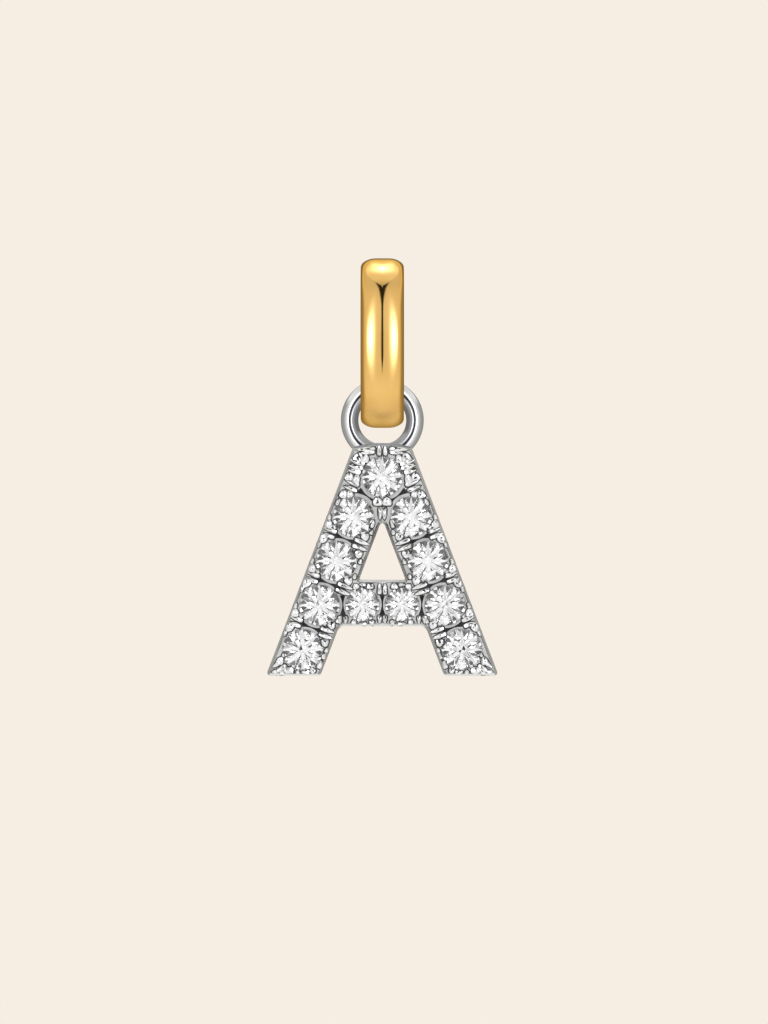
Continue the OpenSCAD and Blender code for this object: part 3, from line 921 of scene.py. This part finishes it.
# Matt cream paper: even and dull, with a barely visible drift of tone.
paper = new_material("matt_cream_paper")
tree = paper.node_tree
place = add_node(tree, "ShaderNodeTexCoord").outputs["Object"]
grain = add_node(tree, "ShaderNodeTexNoise", {
    "Vector": place, "Scale": 1 / (paper_grain * MM), "Detail": 2,
})
tone = add_node(tree, "ShaderNodeValToRGB", {"Fac": grain.outputs["Fac"]})
tone.color_ramp.elements[0].color = linear("#f5ebe0")
tone.color_ramp.elements[1].color = linear("#f9f0e6")
surface = add_node(tree, "ShaderNodeBsdfPrincipled", {
    "Base Color": tone.outputs["Color"], "Roughness": 0.9,
})
add_node(tree, "ShaderNodeOutputMaterial", {"Surface": surface.outputs[0]})
floor.data.materials.append(paper)
# The bail's mirror shows no table in the photograph, so the floor is left out of reflections.
floor.visible_glossy = False

# The light.
# A soft tent all round, with a tall soft box on each side of the camera, an oval one overhead, and a dark
# gap between them where the camera stands. The camera itself sees the plain cream backdrop.
tent_light = 0.9
light_below = 1.02
loss_aside = 0.51
loss_above = 0.12
loss_behind = 0.35
side_box_light = 5
overhead_box_light = 5.2
lamp_coolness = 0.33
gap_darkness = 0.97
stones_brighter = 0.35
world = bpy.data.worlds.new("soft_studio")
bpy.context.scene.world = world
world.use_nodes = True
tree = world.node_tree
tree.nodes.clear()


class Formula:
    """A number that the light's nodes work out for each direction, so that it can be used in sums."""

    def __init__(self, socket):
        self.socket = socket

    def __add__(self, other):
        return calc("ADD", self, other)

    def __sub__(self, other):
        return calc("SUBTRACT", self, other)

    def __rsub__(self, other):
        return calc("SUBTRACT", other, self)

    def __mul__(self, other):
        return calc("MULTIPLY", self, other)

    def __truediv__(self, other):
        return calc("DIVIDE", self, other)

    def __pow__(self, other):
        return calc("POWER", self, other)

    def __neg__(self):
        return calc("MULTIPLY", self, -1)

    def __abs__(self):
        return calc("ABSOLUTE", self)


def calc(operation, *values):
    """One sum on formulas or numbers, as a formula."""
    inputs = [value.socket if isinstance(value, Formula) else value for value in values]
    node = add_node(tree, "ShaderNodeMath", dict(enumerate(inputs)), operation=operation)
    return Formula(node.outputs[0])


def soft_step(formula, low, high):
    """0 below one value, 1 above another, and a smooth rise between them."""
    node = add_node(tree, "ShaderNodeMapRange", {
        "Value": formula.socket, "From Min": low, "From Max": high,
    }, interpolation_type="SMOOTHSTEP")
    return Formula(node.outputs["Result"])


def bell(formula, middle, width):
    """1 at a middle, and a smooth fall to both sides, to about a third at one width."""
    return calc("EXPONENT", -(((formula - middle) / width) ** 2))


# A direction's parts across, away from the camera and up, and its angles beside the camera and up from
# level, in degrees
direction = add_node(tree, "ShaderNodeTexCoord").outputs["Generated"]
axes = add_node(tree, "ShaderNodeSeparateXYZ", {"Vector": direction}).outputs
x, y, z = (Formula(axis) for axis in axes)
beside = abs(calc("DEGREES", calc("ARCTAN2", x, -y)))
up = calc("DEGREES", calc("ARCSINE", z))
path = add_node(tree, "ShaderNodeLightPath").outputs
through_stone = Formula(path["Is Transmission Ray"])

# The tent is brightest at the front, bright below it too, and dimmer above, to the sides and behind.
low = 1 - soft_step(z, 0.35, 0.6)
tent = tent_light - soft_step(beside, 38, 88) * low * loss_aside - soft_step(up, 35, 55) * loss_above
below = (1 - soft_step(up, -45, -20)) * (1 - soft_step(abs(x), 0.3, 0.65))
tent = tent + below * (light_below - tent)

# The two soft boxes at the sides, and a hot spot in the overhead one
side_boxes = bell(beside, 25, 4) * bell(up, 5, 18) * side_box_light
overhead = bell(x, 0, 0.175) * bell(y, 0.27, 0.19) * soft_step(z, 0, 0.6) * overhead_box_light
boxes = side_boxes + overhead

# The overhead box is an oval that ends at 1 in this measure, and it dims towards its end over the camera.
steep = calc("MAXIMUM", z, 0.2)
across_box = x / steep / 0.375
along_box = (y / steep - 0.2) / 0.99
in_oval = calc("SQRT", across_box ** 2 + along_box ** 2)
front_half = soft_step(-along_box, 0, 0.3)
box_light = 0.98 - soft_step(-along_box, 0.4, 1.05) * 0.5
in_box = (1 - soft_step(in_oval, 0.97, 1.03)) * soft_step(z, 0.3, 0.5)
tent = tent + in_box * (box_light - tent)

# Far behind the camera's line the tent is dimmer still.
tent = tent * (1 - soft_step(y, 0.42, 0.72) * low * loss_behind)

# The dark gap at the camera widens towards its top, where it ends at the oval and sends an arm along each
# of its sides. The stones do not show it.
gap_rise = calc("MAXIMUM", (up - 20) / 31.7, 0)
gap_half = gap_rise ** 2.5 * 11.5 + 10 - (1 - soft_step(up, -32, -10)) * 5
gap = (1 - soft_step(beside - gap_half, -1.5, 1.5)) * soft_step(up, -31, -14) * front_half
arms = (1 - soft_step(in_oval, 1.04, 1.2)) * (1 - soft_step(abs(across_box), 0.4, 1)) * front_half * 0.85
gap = calc("MAXIMUM", gap, arms) * soft_step(in_oval, 0.97, 1.03) * (1 - through_stone) * gap_darkness

# The boxes' lamps are cooler than the tent, so that their highlights on gold are cream and not yellow.
shine = tent + boxes
blue = boxes / shine * (1 - through_stone) * lamp_coolness + 1
cool_white = add_node(tree, "ShaderNodeCombineColor", {"Red": 1, "Green": 1, "Blue": blue.socket})
shine = shine * (1 - gap)

# The stones send back the light of a wide cone around the camera. Its rim is cluttered with dark patches,
# which show in their crowns, and its middle is bright with faint shades, which shows in their tables.
off_axis = calc("SQRT", x ** 2 + z ** 2)
spokes = abs(calc("SINE", calc("ARCTAN2", z, x) * 4))


def patchy_ring(start, end, scale, coverage):
    """Dark patches in a ring around the camera, between two distances off the axis."""
    noise = add_node(tree, "ShaderNodeTexNoise", {"Vector": direction, "Scale": scale, "Detail": 1})
    in_ring = soft_step(off_axis, start - 0.02, start) - soft_step(off_axis, end, end + 0.02)
    return in_ring * soft_step(Formula(noise.outputs["Fac"]), coverage, coverage + 0.05)


clutter = patchy_ring(0.46, 2, 13, 0.45) * soft_step(spokes, 0.06, 0.16)
clutter = calc("MAXIMUM", clutter, soft_step(off_axis, 0.43, 0.46) * soft_step(spokes, 0.25, 0.4))
clutter = calc("MAXIMUM", clutter, patchy_ring(0.3, 0.335, 13, 0.47)) * 0.94
clutter = calc("MAXIMUM", clutter, patchy_ring(0.19, 0.29, 6, 0.54) * 0.85)
clutter = calc("MAXIMUM", clutter, patchy_ring(-1, 1, 14, 0.5) * 0.27)
clutter = clutter * soft_step(z, -0.85, -0.7) * through_stone
shine = shine * (through_stone * stones_brighter + 1) * (1 - clutter)

# The pendant is lit by the studio, and the camera sees the backdrop.
studio = add_node(tree, "ShaderNodeBackground", {
    "Color": cool_white.outputs[0], "Strength": shine.socket,
})
backdrop = add_node(tree, "ShaderNodeBackground", {"Color": linear("#f7eee3"), "Strength": 1})
mixed = add_node(tree, "ShaderNodeMixShader", {
    0: path["Is Camera Ray"], 1: studio.outputs[0], 2: backdrop.outputs[0],
})
add_node(tree, "ShaderNodeOutputWorld", {"Surface": mixed.outputs[0]})

# The camera.
# It looks straight at the front with a long lens, as the photograph does: 27 of its pixels show 1 mm.
pixels_per_mm = 27
pixels_wide, pixels_high = 768, 1024
origin_pixel = (382.3, 276.7)
lens, sensor = 200, 36
view_height = pixels_high / pixels_per_mm
distance = lens / sensor * view_height
camera_x = (pixels_wide / 2 - origin_pixel[0]) / pixels_per_mm
camera_z = (origin_pixel[1] - pixels_high / 2) / pixels_per_mm
camera_data = bpy.data.cameras.new("camera")
camera_data.lens = lens
camera_data.sensor_width = sensor
camera_data.clip_start = 1 * MM
camera = bpy.data.objects.new("camera", camera_data)
camera.location = Vector((camera_x, -distance, camera_z)) * MM
camera.rotation_euler = (math.radians(90), 0, 0)
bpy.context.collection.objects.link(camera)
bpy.context.scene.camera = camera
bpy.context.scene.view_settings.view_transform = "Standard"
bpy.context.scene.cycles.use_denoising = True

bpy.context.view_layer.update()
